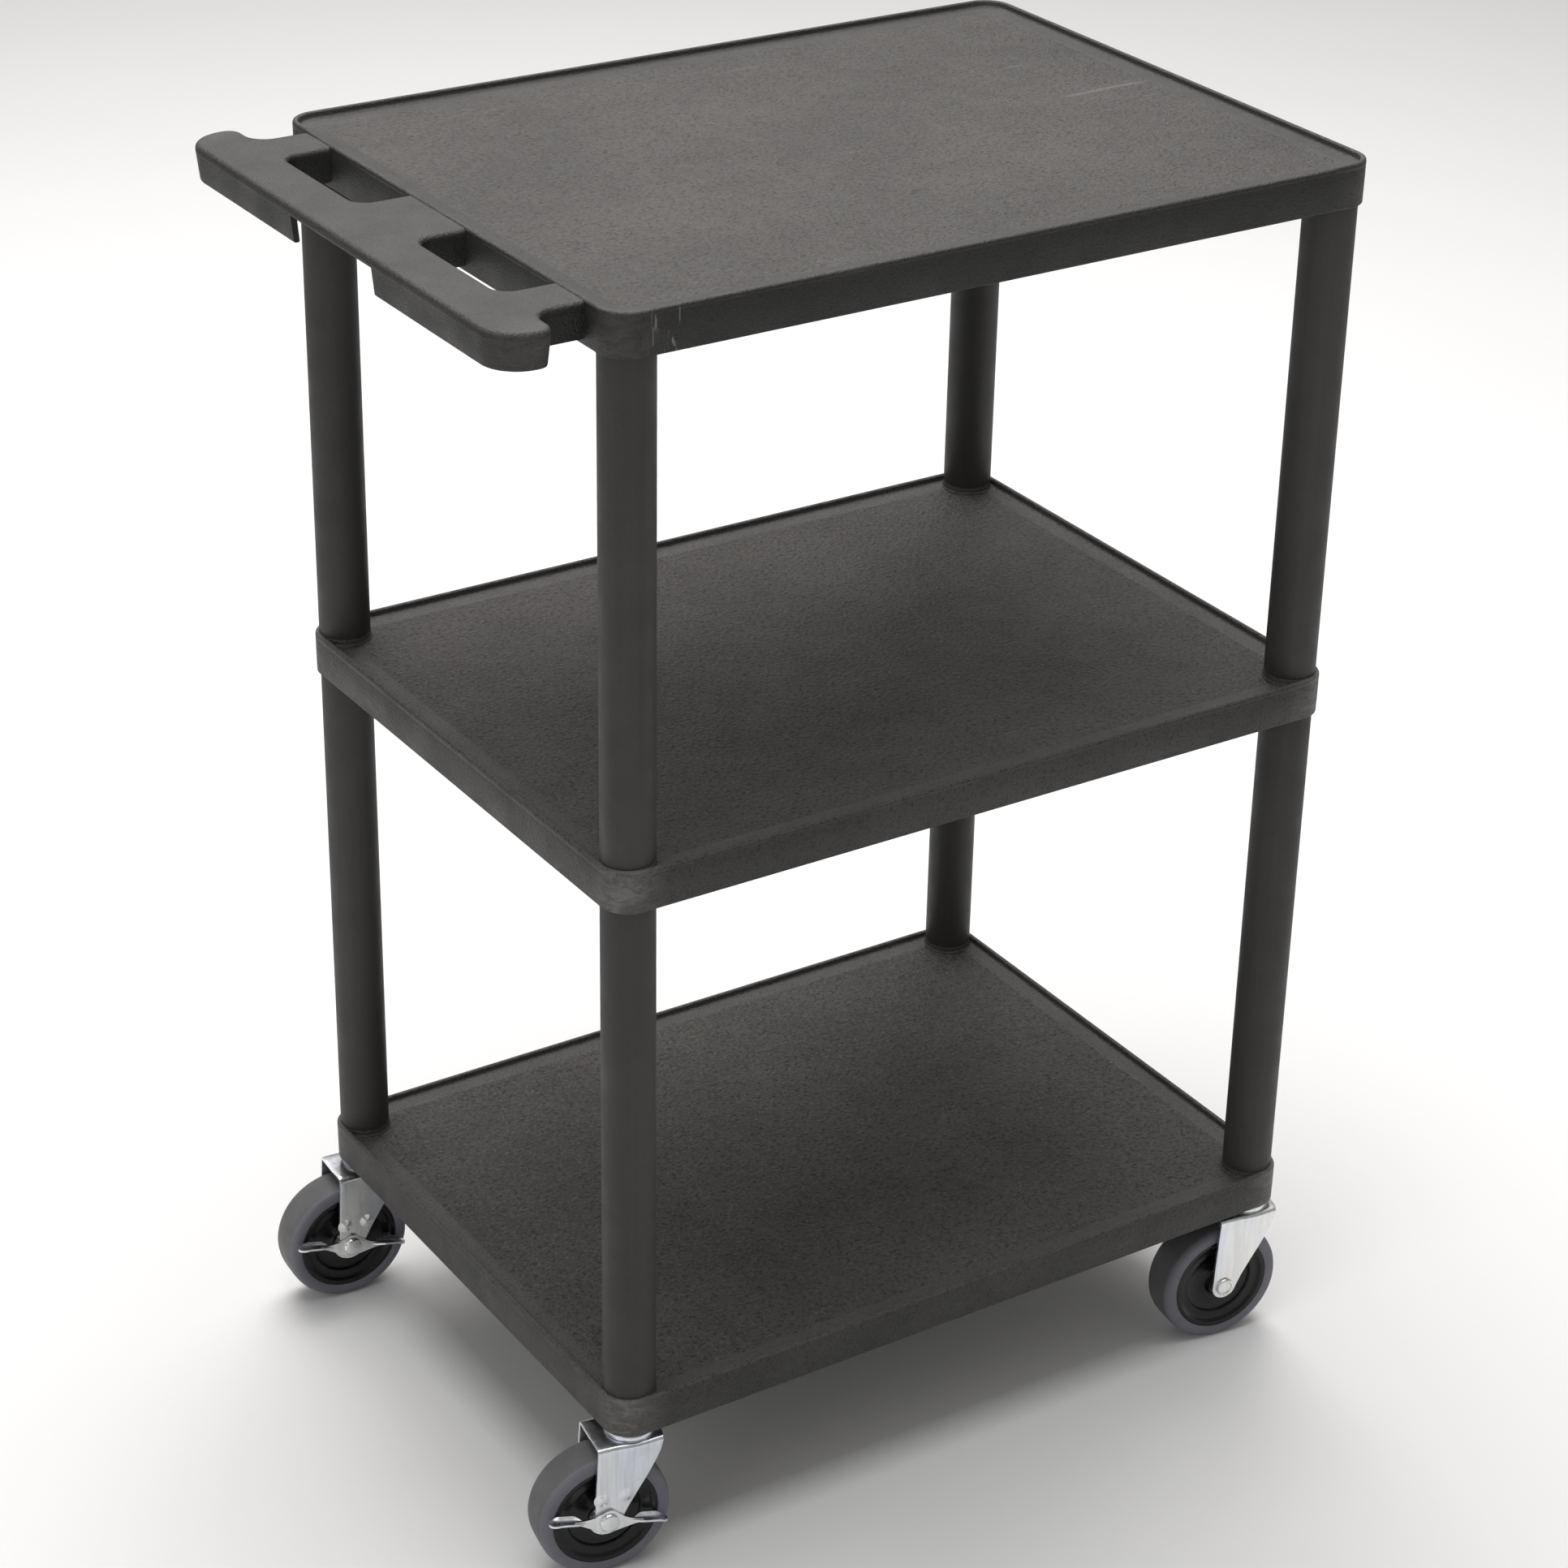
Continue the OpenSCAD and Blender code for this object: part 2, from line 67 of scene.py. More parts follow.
# Shelves, in the part's own sizes
CORNER_R = 22 * MM
LIP_H = 5 * MM
PLATE_T = 6 * MM
SKIRT_H = 32 * MM
SKIRT_T = 4 * MM
RIBS_X, RIBS_Y = 6, 4            # ribs set out along X and along Y
RIB_T, RIB_H = 3 * MM, 8 * MM
RIB_END = 0.8                    # from the skirt's outer face to a rib's end, in skirt thicknesses
LEG_R = 19.05 * MM
LEG_ROOM = 0.1 * MM              # round a leg in its hole
SLEEVE_R = 8.5 * MM
BLOCK_IN = 0.3 * MM              # from the skirt's corner to the round block in it
RIM_STEP = 12 * MM               # rough distance between two sections of a rim

# Handle
REACH = 78 * MM
GRIP_W = 41 * MM
HANDLE_HALF = 224.6 * MM
END_R = 28 * MM                  # outer corners of the handle
EAR_R = 11 * MM                  # corners of its ears on the shelf's side
NECK_IN = 40 * MM
NECK_OUT = 153 * MM
NECK_R = 12 * MM                 # inner corners of the finger gaps
NOTCH_Y = 193 * MM
NOTCH_R = 14 * MM                # inner corners of the notches before the ears
GRIP_GAP = 108 * MM
PLATE_IN, SKIRT_IN = 4 * MM, 6 * MM      # how far the plate and its skirt run into the shelf
SKIRT_INSET = 0.2 * MM           # from the plate's edge to the skirt's face

# Casters
FORK_W = 41 * MM
FORK_T = 2.5 * MM
FORK_TOP = 63.2 * MM             # above the axle
FORK_END_R = 10.5 * MM
FORK_BEND = 3.6 * MM             # outer radius of the fold between top and sides
FORK_CROWN = 2.2 * MM            # how far the front edge of the top bows out
BULGE_RUN, BULGE_DROP = 19 * MM, 12 * MM # half length and depth of the swell round the raceway
BULGE_OUT = 1.4 * MM
DOMES_X, DOME_Z = (-4.5 * MM, 13.5 * MM), 19 * MM    # pressed bumps on a braked fork
DOME_R, DOME_H = 6.4 * MM, 1.5 * MM
TRAIL = 24 * MM
HUB_BORE, HUB_HALF = 6.46 * MM, 16.5 * MM
ROLLING_HALF = 12.3 * MM         # half width of the tread's rolling face
BOLT_R = 4 * MM
BOLT_HEAD_R, BOLT_HEAD_H = 7.3 * MM, 2.6 * MM
BOLT_END = 6.5 * MM              # past the fork's side
CAP_BORE, CAP_WALL = 5.6 * MM, 1.5 * MM
PEDAL_Y = 20.9 * MM
PEDAL_T = 1.8 * MM
PEDAL_TILT = math.radians(12)

CREASE = math.radians(38)        # edges from this angle up are shaded sharp


def smooth(t):
    """Smoothstep from 0 to 1, held flat outside."""
    t = min(max(t, 0.0), 1.0)
    return t * t * (3 - 2 * t)


def mix(a, b, t):
    return a + (b - a) * t


# ---------------------------------------------------------------- mesh helpers

def add_ring(bm, points):
    return [bm.verts.new(p) for p in points]


def bridge(bm, a, b, closed=True):
    """Quads between two rows of equal length."""
    n = len(a)
    for i in range(n if closed else n - 1):
        j = (i + 1) % n
        bm.faces.new((a[i], a[j], b[j], b[i]))


def sweep(bm, path, section, closed=True, tube=False):
    """Carries a section of (inset, z) along a path of (point, inward normal).

    The section may be a function of the place in the path, and a tube closes it into a loop."""
    rows = []
    for i, (p, n) in enumerate(path):
        pts = section(i) if callable(section) else section
        rows.append(add_ring(bm, [(p.x + n.x * d, p.y + n.y * d, z) for d, z in pts]))
    count = len(rows)
    for i in range(count if closed else count - 1):
        bridge(bm, rows[i], rows[(i + 1) % count], closed=tube)
    if tube and not closed:
        bm.faces.new(rows[0])
        bm.faces.new(list(reversed(rows[-1])))
    return rows


def cap_column(bm, rows, k, flip=False):
    """Closes the loop made by the k-th point of every row."""
    loop = [r[k] for r in rows]
    bm.faces.new(list(reversed(loop)) if flip else loop)


def lathe(bm, profile, segments=72, axis="Z", centre=(0, 0, 0)):
    """Turns a closed or axis-to-axis profile of (radius, height) about an axis."""
    c = Vector(centre)
    turn = {"Z": Matrix.Identity(3), "Y": Matrix.Rotation(math.radians(90), 3, "X")}[axis]
    rows = []
    for r, h in profile:
        if r < 1e-7:
            rows.append([bm.verts.new(c + turn @ Vector((0, 0, h)))])
            continue
        angles = [math.tau * i / segments for i in range(segments)]
        rows.append([bm.verts.new(c + turn @ Vector((r * math.cos(a), r * math.sin(a), h)))
                     for a in angles])
    open_ends = len(rows[0]) > 1
    pairs = list(zip(rows, rows[1:])) + ([(rows[-1], rows[0])] if open_ends else [])
    for a, b in pairs:
        if len(a) == 1 or len(b) == 1:
            tip, ring = (a[0], b) if len(a) == 1 else (b[0], a)
            for i in range(segments):
                bm.faces.new((tip, ring[i], ring[(i + 1) % segments]))
        else:
            bridge(bm, a, b)


def add_box(bm, lo, hi):
    lo, hi = Vector(lo), Vector(hi)
    m = Matrix.Translation((lo + hi) / 2) @ Matrix.Diagonal((*(hi - lo), 1))
    bmesh.ops.create_cube(bm, size=1, matrix=m)


def round_edges(bm, width, limit=50, segments=2):
    """Rounds every edge sharper than limit degrees."""
    bmesh.ops.recalc_face_normals(bm, faces=bm.faces)
    sharp = [e for e in bm.edges if len(e.link_faces) == 2
             and e.calc_face_angle(0) > math.radians(limit)]
    bmesh.ops.bevel(bm, geom=sharp, offset=width, segments=segments, profile=0.5,
                    affect="EDGES", clamp_overlap=True)


def make_piece(name, bm, body, material, slot, *nodes, place=None):
    """Turns a bmesh into a piece that rides on a body and stands for CAD nodes."""
    if place is not None:
        bm.transform(place)
    bmesh.ops.recalc_face_normals(bm, faces=bm.faces)
    for f in bm.faces:
        f.smooth = True
    for e in bm.edges:
        e.smooth = e.calc_face_angle(0) < CREASE
    mesh = bpy.data.meshes.new(name)
    bm.to_mesh(mesh)
    bm.free()
    materials = material if isinstance(material, (list, tuple)) else [material]
    for m in materials:
        mesh.materials.append(m)
    piece = bpy.data.objects.new(name, mesh)
    bpy.context.scene.collection.objects.link(piece)
    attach(piece, body)
    if nodes:
        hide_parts(*nodes)
    return piece


# ---------------------------------------------------------------- paths

def fillet_path(corners, per_turn, step):
    """Closed path of (point, normal to its left) round corners given as (x, y, radius)."""
    path = []
    n = len(corners)
    for i, (x, y, r) in enumerate(corners):
        here = Vector((x, y))
        before = Vector(corners[i - 1][:2])
        after = Vector(corners[(i + 1) % n][:2])
        into, out = (here - before).normalized(), (after - here).normalized()
        turn = math.atan2(into.cross(out), into.dot(out))
        left_in = Vector((-into.y, into.x))
        left_out = Vector((-out.y, out.x))
        if r <= 0:
            path.append((here, (left_in + left_out) / (1 + left_in.dot(left_out))))
            continue
        side = 1 if turn > 0 else -1
        reach = r * math.tan(abs(turn) / 2)
        start = here - into * reach
        middle = start + left_in * side * r
        parts = max(3, round(per_turn * abs(turn) / math.tau * 4) // 2)
        for k in range(parts + 1):
            left = Matrix.Rotation(turn * k / parts, 2) @ left_in
            path.append((middle - left * side * r, left))
    return subdivide(path, step)


def subdivide(path, step):
    """Adds points along the straight stretches, so that a section can change along them."""
    out = []
    for (p, a), (q, b) in zip(path, path[1:] + path[:1]):
        out.append((p, a))
        parts = max(1, int((q - p).length / step))
        for k in range(1, parts):
            out.append((p.lerp(q, k / parts), a.lerp(b, k / parts)))
    return out


def rectangle_path(centre, half, r, step):
    """Rounded rectangle, anticlockwise from above, with inward normals."""
    cx, cy = centre
    hx, hy = half
    corners = [(cx - hx, cy - hy, r), (cx + hx, cy - hy, r),
               (cx + hx, cy + hy, r), (cx - hx, cy + hy, r)]
    return fillet_path(corners, per_turn=48, step=step)


# ---------------------------------------------------------------- shelves

# Sections of a shelf's rim in millimetres: (inset from the outer face, height from the lip's top).
# The lip and the flush edge blend point by point, so the two have the same number of points.
LIP_RIM = ((18.8, -5.4), (17.9, -5.36), (16.9, -5.05), (15.6, -5), (7.6, -4.98), (6.2, -4.75),
           (5.2, -4.2), (4.6, -3.2), (4.35, -1.6), (4.0, -0.7), (3.3, -0.15), (2.3, 0),
           (1.3, -0.2), (0.5, -0.75), (0.1, -1.6), (0, -2.6))
FLUSH_RIM = ((18.8, -5.4), (17.9, -5.36), (16.9, -5.05), (15.9, -4.75), (14.5, -4.3), (11.5, -3.4),
             (8.5, -2.55), (6, -1.9), (4.5, -1.52), (3.6, -1.3), (2.9, -1.16), (2.2, -1.12),
             (1.4, -1.3), (0.6, -1.8), (0.15, -2.5), (0, -3.3))
SKIRT_RIM = ((0, -4.5), (0.14, -4.68), (0.14, -4.9), (0.05, -5.08), (0.1, -18), (0.25, -30.4),
             (0.6, -31.5), (1.3, -32), (2.9, -32), (3.6, -31.7), (4.0, -31), (4.0, -11))
END_FADE = 50 * MM               # run of the lip's end along the handle side
NEAR_FADE = 28 * MM              # run of the lip's ends along the near side


def lip_share(p, centre, half, flush_end):
    """1 where the lip stands at full height and 0 on a flush edge, at point p of the outline."""
    x, y = p.x - centre.x, p.y - centre.y
    flat_x, flat_y = half.x - CORNER_R, half.y - CORNER_R
    if flush_end and x < -flat_x:
        return smooth(1 + (y - flat_y) / END_FADE)
    if y < -flat_y and abs(x) <= flat_x:
        if flush_end and x < 0:
            return 0.0
        return smooth(1 - (flat_x - abs(x)) / NEAR_FADE)
    return 1.0


def shelf_rim(path, centre, half, top, flush_end):
    """The rim's section at each point of the path."""
    rows = []
    for p, _ in path:
        w = lip_share(p, centre, half, flush_end)
        rim = [(mix(f[0], l[0], w), mix(f[1], l[1], w)) for l, f in zip(LIP_RIM, FLUSH_RIM)]
        rows.append([(d * MM, top + z * MM) for d, z in (*rim, *SKIRT_RIM)])
    return rows


def add_shelf(bm, centre, half, top, flush_end, leg_below, leg_above):
    """Tray, rim, skirt, ribs and corner blocks of one shelf. The tray's floor takes material 1."""
    path = rectangle_path(centre, half, CORNER_R, RIM_STEP)
    sections = shelf_rim(path, centre, half, top, flush_end)
    rows = sweep(bm, path, lambda i: sections[i])
    cap_column(bm, rows, 0)
    bm.faces.ensure_lookup_table()
    bm.faces[-1].material_index = 1
    cap_column(bm, rows, -1, flip=True)
    low, roof = top - SKIRT_H, top - LIP_H - PLATE_T
    add_ribs(bm, centre, half, roof - RIB_H, roof)
    hole = LEG_R + LEG_ROOM if leg_below else SLEEVE_R
    for place in stem_places(centre, half):
        add_corner_block(bm, place, low, roof, hole)
        if leg_above:
            add_collar(bm, place, top)


def stem_places(centre, half):
    """Where the legs and the casters' stems stand, at the middles of the rounded corners."""
    return [(centre.x + sx * (half.x - CORNER_R), centre.y + sy * (half.y - CORNER_R))
            for sx in (-1, 1) for sy in (-1, 1)]


def add_ribs(bm, centre, half, low, roof):
    """Crossed ribs under the plate, which run a little into it and into the skirt."""
    inner = half - Vector((SKIRT_T, SKIRT_T)) * RIB_END
    high = roof + MM
    for i in range(1, RIBS_X + 1):
        x = centre.x - half.x + 2 * half.x * i / (RIBS_X + 1)
        add_box(bm, (x - RIB_T / 2, centre.y - inner.y, low),
                (x + RIB_T / 2, centre.y + inner.y, high))
    for i in range(1, RIBS_Y + 1):
        y = centre.y - half.y + 2 * half.y * i / (RIBS_Y + 1)
        add_box(bm, (centre.x - inner.x, y - RIB_T / 2, low),
                (centre.x + inner.x, y + RIB_T / 2, high))


def add_corner_block(bm, place, low, roof, hole):
    """Round block in a shelf's corner, open below for a leg or a caster's sleeve."""
    outer = CORNER_R - BLOCK_IN
    soft = 0.6 * MM
    high = roof + 2 * MM
    lathe(bm, [(hole, high), (hole, low + soft), (hole + soft / 2, low + soft / 4),
               (hole + soft, low), (outer - soft, low), (outer, low + soft), (outer, high)],
          centre=(*place, 0))


def add_collar(bm, place, top):
    """Low collar that the foot of a leg stands on."""
    r, crown = LEG_R, top - 0.1 * MM
    floor = top - LIP_H
    buried = floor - MM
    lathe(bm, [(0, buried), (r + 1.4 * MM, buried), (r + 1.2 * MM, floor + 0.3 * MM),
               (r + 0.5 * MM, floor + 0.9 * MM), (r + 0.1 * MM, floor + 1.9 * MM),
               (r, top - 0.7 * MM), (r - 0.5 * MM, crown), (0, crown)], centre=(*place, 0))


# Section of the handle plate's edge in millimetres: (inset, height from the lip's top)
HANDLE_EDGE = ((5.0, -2.0), (3.9, -2.05), (2.8, -2.25), (1.8, -2.7), (0.95, -3.4), (0.35, -4.3),
               (0.05, -5.4), (0, -6.4), (0.16, -6.6), (0.16, -6.85), (0.06, -7.0), (0.2, -8.2),
               (0.5, -9.0), (1.4, -9.2))
# Section of the skirt under it in millimetres, a closed loop with its draft
HANDLE_SKIRT = ((0, -8.2), (1.1, -18), (2.1, -26.9), (2.5, -27.7), (3.3, -28), (5.4, -28),
                (5.9, -27.7), (6.2, -26.9), (4.6, -8.2))


def handle_path(face_x, inset, depth, step):
    """E-shaped outline of the handle, anticlockwise from above.

    Inset pulls in the outer side and the ears, and depth is the run into the shelf."""
    out, ear = REACH - inset, HANDLE_HALF - inset
    bar = REACH - GRIP_W
    big, small = END_R - inset, EAR_R - inset
    half = [(-depth, NOTCH_Y, 0), (-depth, NECK_OUT, 0), (bar, NECK_OUT, NECK_R),
            (bar, NECK_IN, NECK_R), (-depth, NECK_IN, 0)]
    outline = [(bar, NOTCH_Y, NOTCH_R), *half]
    outline += [(u, -v, r) for u, v, r in reversed(half)]
    outline += [(bar, -NOTCH_Y, NOTCH_R), (bar, -ear, small), (out, -ear, big),
                (out, ear, big), (bar, ear, small)]
    corners = [(face_x - u, v, r) for u, v, r in reversed(outline)]
    return fillet_path(corners, per_turn=40, step=step)


def add_handle(bm, face_x, top):
    """Handle plate and the skirt under it, which is left out in the middle of the grip."""
    path = handle_path(face_x, 0, PLATE_IN, step=20 * MM)
    rows = sweep(bm, path, [(d * MM, top + z * MM) for d, z in HANDLE_EDGE])
    cap_column(bm, rows, 0)
    cap_column(bm, rows, -1, flip=True)
    skirt = handle_path(face_x, SKIRT_INSET, SKIRT_IN, step=6 * MM)
    in_gap = [face_x - p.x > REACH - GRIP_W / 2 and abs(p.y) < GRIP_GAP / 2 for p, _ in skirt]
    start = next(i for i in range(len(skirt)) if in_gap[i - 1] and not in_gap[i])
    order = [(start + k) % len(skirt) for k in range(len(skirt))]
    open_path = [skirt[i] for i in order if not in_gap[i]]
    sweep(bm, open_path, [(d * MM, top + z * MM) for d, z in HANDLE_SKIRT], closed=False, tube=True)


# Shelves as (node, is the top one, has legs below, has legs above).
# The top one has the handle and a flush end.
SHELVES = (("top_shelf", True, True, False),
           ("middle_shelf", False, True, True),
           ("bottom_shelf", False, False, True))


def build_shelves(top_plastics, lower_plastics):
    """The three mouldings, each with its own material and a grained one for the tray's floor."""
    for name, is_top, legs_below, legs_above in SHELVES:
        lo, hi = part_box(name)
        face_x = lo.x + (REACH if is_top else 0)
        centre = Vector(((face_x + hi.x) / 2, (lo.y + hi.y) / 2))
        half = Vector(((hi.x - face_x) / 2, (hi.y - lo.y) / 2))
        top = lo.z + SKIRT_H
        bm = bmesh.new()
        add_shelf(bm, centre, half, top, is_top, legs_below, legs_above)
        if is_top:
            add_handle(bm, face_x, top)
        materials = top_plastics if is_top else lower_plastics
        slot = "top_plastic" if is_top else "shelf_plastic"
        make_piece(name + "_moulding", bm, "frame", materials, slot, name)


# ---------------------------------------------------------------- legs

def build_legs(plastic):
    """Tubes with a softened foot and a faint turned-in top."""
    soft = 0.8 * MM
    for level in ("upper", "lower"):
        for corner in CORNERS:
            node = f"{level}_leg_{corner}"
            lo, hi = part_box(node)
            r = (hi.x - lo.x) / 2
            bm = bmesh.new()
            lathe(bm, [(0, lo.z), (r - soft, lo.z), (r - soft * 0.3, lo.z + soft * 0.3),
                       (r, lo.z + soft), (r, hi.z - soft), (r - soft, hi.z), (0, hi.z)],
                  segments=96, centre=((lo.x + hi.x) / 2, (lo.y + hi.y) / 2, 0))
            make_piece(node + "_tube", bm, "frame", plastic, "leg_plastic", node)


# ---------------------------------------------------------------- casters

def caster_place(corner):
    """Matrix that puts the axle's middle, travel direction x and up z at a caster's axle."""
    stem = Vector(JOINTS["swivel_" + corner]["pos_m"])
    axle = Vector(JOINTS["roll_" + corner]["pos_m"])
    ahead = Vector((stem.x - axle.x, stem.y - axle.y, 0)).normalized()
    side = Vector((0, 0, 1)).cross(ahead)
    turn = Matrix((ahead, side, Vector((0, 0, 1)))).transposed().to_4x4()
    return Matrix.Translation(axle) @ turn


def spline(points, t):
    """Value at t of a smooth curve through (t, value) points with rising t."""
    k = max(i for i in range(len(points) - 1) if points[i][0] <= t or i == 0)
    (t0, v0), (t1, v1) = points[k], points[k + 1]
    before = points[k - 1] if k > 0 else points[k]
    after = points[k + 2] if k + 2 < len(points) else points[k + 1]
    s0 = (v1 - before[1]) / (t1 - before[0])
    s1 = (after[1] - v0) / (after[0] - t0)
    h, u = t1 - t0, (t - t0) / (t1 - t0)
    return ((2 * u**3 - 3 * u**2 + 1) * v0 + (u**3 - 2 * u**2 + u) * h * s0
            + (3 * u**2 - 2 * u**3) * v1 + (u**3 - u**2) * h * s1)


# Front and back edges of a fork's side in millimetres: (height above the axle, distance ahead of it)
FORK_NOSE = ((-2.5, 10.2), (6, 14.2), (20, 22.4), (33.2, 30.6), (47.2, 38.2), (56, 41.6), (63.2, 43))
FORK_TAIL = ((2.5, -10.1), (20, -9.4), (63.2, -7))


def fork_span(z):
    """Where a fork's side starts and ends, along x, at height z."""
    z_mm = z / MM
    end = math.sqrt(max((FORK_END_R / MM) ** 2 - z_mm * z_mm, 0))
    tail = -end if z_mm < FORK_TAIL[0][0] else spline(FORK_TAIL, z_mm)
    nose = end if z_mm < FORK_NOSE[0][0] else spline(FORK_NOSE, z_mm)
    return tail * MM, nose * MM


def fork_profile():
    """Cross-section of a fork as (y, z, outward normal), from one end up and over to the other."""
    half, bend = FORK_W / 2, FORK_BEND
    rise_steps, bend_steps = 16, 6
    foot = [FORK_END_R * -math.cos(math.radians(a)) for a in range(4, 90, 8)]
    rise = [FORK_TOP * k / rise_steps - bend * k / rise_steps for k in range(1, rise_steps + 1)]
    side = [(half, z, (1, 0)) for z in (*foot, *rise)]
    for k in range(1, bend_steps + 1):
        a = math.radians(90 * k / bend_steps)
        side.append((half - bend + bend * math.cos(a), FORK_TOP - bend + bend * math.sin(a),
                     (math.cos(a), math.sin(a))))
    flat = [(y * (half - bend), FORK_TOP, (0, 1)) for y in (0.75, 0.5, 0.25)]
    right = side + flat
    left = [(-y, z, (-n[0], n[1])) for y, z, n in reversed(right)]
    return right + [(0, FORK_TOP, (0, 1))] + left


def fork_bulge(x, z):
    """How far a fork's side swells round the raceway near its top."""
    along = 1 - abs(x - TRAIL) / BULGE_RUN
    up = 1 - (FORK_TOP - z) / BULGE_DROP
    return BULGE_OUT * smooth(along) * smooth(up)


def add_fork(bm):
    """Pressed yoke as one bent sheet, with rims all round."""
    columns = 14
    outer, inner = [], []
    for y, z, (ny, nz) in fork_profile():
        tail, nose = fork_span(min(z, FORK_TOP))
        on_top = nz > 0.9
        if on_top:
            nose += FORK_CROWN * (1 - (abs(y) / (FORK_W / 2)) ** 2)
        rows = ([], [])
        for k in range(columns + 1):
            x = mix(tail, nose, k / columns)
            swell = fork_bulge(x, z) * (abs(ny) if not on_top else 0)
            for row, depth in zip(rows, (0, FORK_T)):
                row.append((x, y + ny * (swell - depth), z - nz * depth))
        outer.append(add_ring(bm, rows[0]))
        inner.append(add_ring(bm, rows[1]))
    for layer in (outer, inner):
        for a, b in zip(layer, layer[1:]):
            bridge(bm, a, b, closed=False)
    for k in (0, columns):
        bridge(bm, [r[k] for r in outer], [r[k] for r in inner], closed=False)
    for k in (0, -1):
        bridge(bm, outer[k], inner[k], closed=False)


def add_dome(bm, x, z, y, r, h, rings=6, segments=28):
    """Pressed bump on a fork's side that faces -y, with its foot sunk a little into the side."""
    sunk = 0.2 * MM
    angles = [math.tau * i / segments for i in range(segments)]
    rows = []
    for k in range(rings):
        t = k / rings
        ring_r = r * (1 - t)
        ring_y = y - h * smooth(t) + (sunk if k == 0 else 0)
        rows.append(add_ring(bm, [(x + ring_r * math.cos(a), ring_y, z + ring_r * math.sin(a))
                                  for a in angles]))
    tip = bm.verts.new((x, y - h, z))
    for a, b in zip(rows, rows[1:]):
        bridge(bm, a, b)
    last = rows[-1]
    for i in range(segments):
        bm.faces.new((last[i], last[(i + 1) % segments], tip))
    bm.faces.new(rows[0])


def build_forks(zinc):
    for corner in CORNERS:
        bm = bmesh.new()
        add_fork(bm)
        round_edges(bm, 0.55 * MM, segments=3)
        if corner in BRAKED:
            for x in DOMES_X:
                add_dome(bm, x, DOME_Z, -FORK_W / 2, DOME_R, DOME_H)
        make_piece(f"fork_{corner}_yoke", bm, "caster_" + corner, zinc, "zinc_plate",
                   f"fork_{corner}", place=caster_place(corner))


def build_caps(zinc):
    """Dished raceway cap under each corner of the bottom shelf."""
    for corner in CORNERS:
        node = f"raceway_cap_{corner}"
        lo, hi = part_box(node)
        r = (hi.x - lo.x) / 2
        inner, soft = r - CAP_WALL, 0.4 * MM
        ceiling = hi.z - 3.4 * MM
        bm = bmesh.new()
        lathe(bm, [(CAP_BORE, hi.z), (r * 0.8, hi.z), (r * 0.88, hi.z - 0.5 * MM),
                   (r * 0.96, hi.z - 1.5 * MM), (r, hi.z - 2.9 * MM), (r, lo.z + soft),
                   (r - soft, lo.z), (r - 1.2 * MM, lo.z), (inner, lo.z + soft),
                   (inner, hi.z - 3.6 * MM), (14 * MM, ceiling), (CAP_BORE, ceiling)],
              segments=96, centre=((lo.x + hi.x) / 2, (lo.y + hi.y) / 2, 0))
        make_piece(node + "_dish", bm, "frame", zinc, "zinc_plate", node)


# Half sections of a wheel in millimetres: (radius, distance from the middle plane)
HUB_FACE = ((10.6, 16.5), (11.2, 16.2), (12.4, 11.6), (13.4, 10.6), (18, 9.9), (26.2, 9.7),
            (27.4, 10.2), (28.0, 11.6), (28.8, 12.4), (31, 12.6), (34.4, 12.8), (35.4, 13.3),
            (36.6, 14.6), (37.4, 15.0), (39.6, 15.1), (40.5, 14.9))
TREAD_FACE = ((40.5, 15.3), (41.2, 15.75), (44.6, 15.87), (46.2, 15.75), (47.8, 15.2),
              (49.2, 14.0), (50.15, 12.3), (50.6, 10.2), (50.78, 6), (50.8, 0))


def mirror_face(face):
    """Both faces of a wheel from one: out along +y and back along -y."""
    there = [(r * MM, y * MM) for r, y in face]
    back = [(r, -y) for r, y in reversed(there)]
    return there + (back[1:] if abs(face[-1][1]) < 1e-9 else back)


def build_wheels(black, side_and_face):
    """Hubs and treads. A tread's sides take its first material and its rolling face the second."""
    for corner in CORNERS:
        place = caster_place(corner)
        hub = bmesh.new()
        profile = [(HUB_BORE, HUB_HALF), *mirror_face(HUB_FACE), (HUB_BORE, -HUB_HALF)]
        lathe(hub, profile, segments=128, axis="Y")
        make_piece(f"wheel_hub_{corner}_disc", hub, "wheel_" + corner, black, "hub_plastic",
                   f"wheel_hub_{corner}", place=place)
        tread = bmesh.new()
        lathe(tread, mirror_face(TREAD_FACE), segments=128, axis="Y")
        for f in tread.faces:
            if abs(f.calc_center_median().y) < ROLLING_HALF:
                f.material_index = 1
        make_piece(f"wheel_tread_{corner}_ring", tread, "wheel_" + corner, side_and_face,
                   "tread_rubber", f"wheel_tread_{corner}", place=place)


def build_bolts(zinc):
    """Axle bolts with a low round head, domed over a pedal and dished where there is no brake."""
    for corner in CORNERS:
        braked = corner in BRAKED
        seat = PEDAL_Y + PEDAL_T + 0.3 * MM if braked else FORK_W / 2
        r, crown = BOLT_HEAD_R, seat + BOLT_HEAD_H
        tail = FORK_W / 2 + BOLT_END
        head = [(0, crown), (r - 1.5 * MM, crown), (r - 0.5 * MM, crown - 0.35 * MM),
                (r, crown - 1.1 * MM)]
        if not braked:
            dip = r - 2.6 * MM
            head[:1] = [(0, crown - MM), (dip, crown - 0.9 * MM), (dip + 0.5 * MM, crown - 0.2 * MM)]
        profile = [*head, (r, seat), (BOLT_R, seat), (BOLT_R, 0.6 * MM - tail), (3.4 * MM, -tail),
                   (0, -tail)]
        bm = bmesh.new()
        lathe(bm, profile, segments=64, axis="Y")
        make_piece(f"axle_bolt_{corner}_turned", bm, "caster_" + corner, zinc, "zinc_plate",
                   f"axle_bolt_{corner}", place=caster_place(corner))


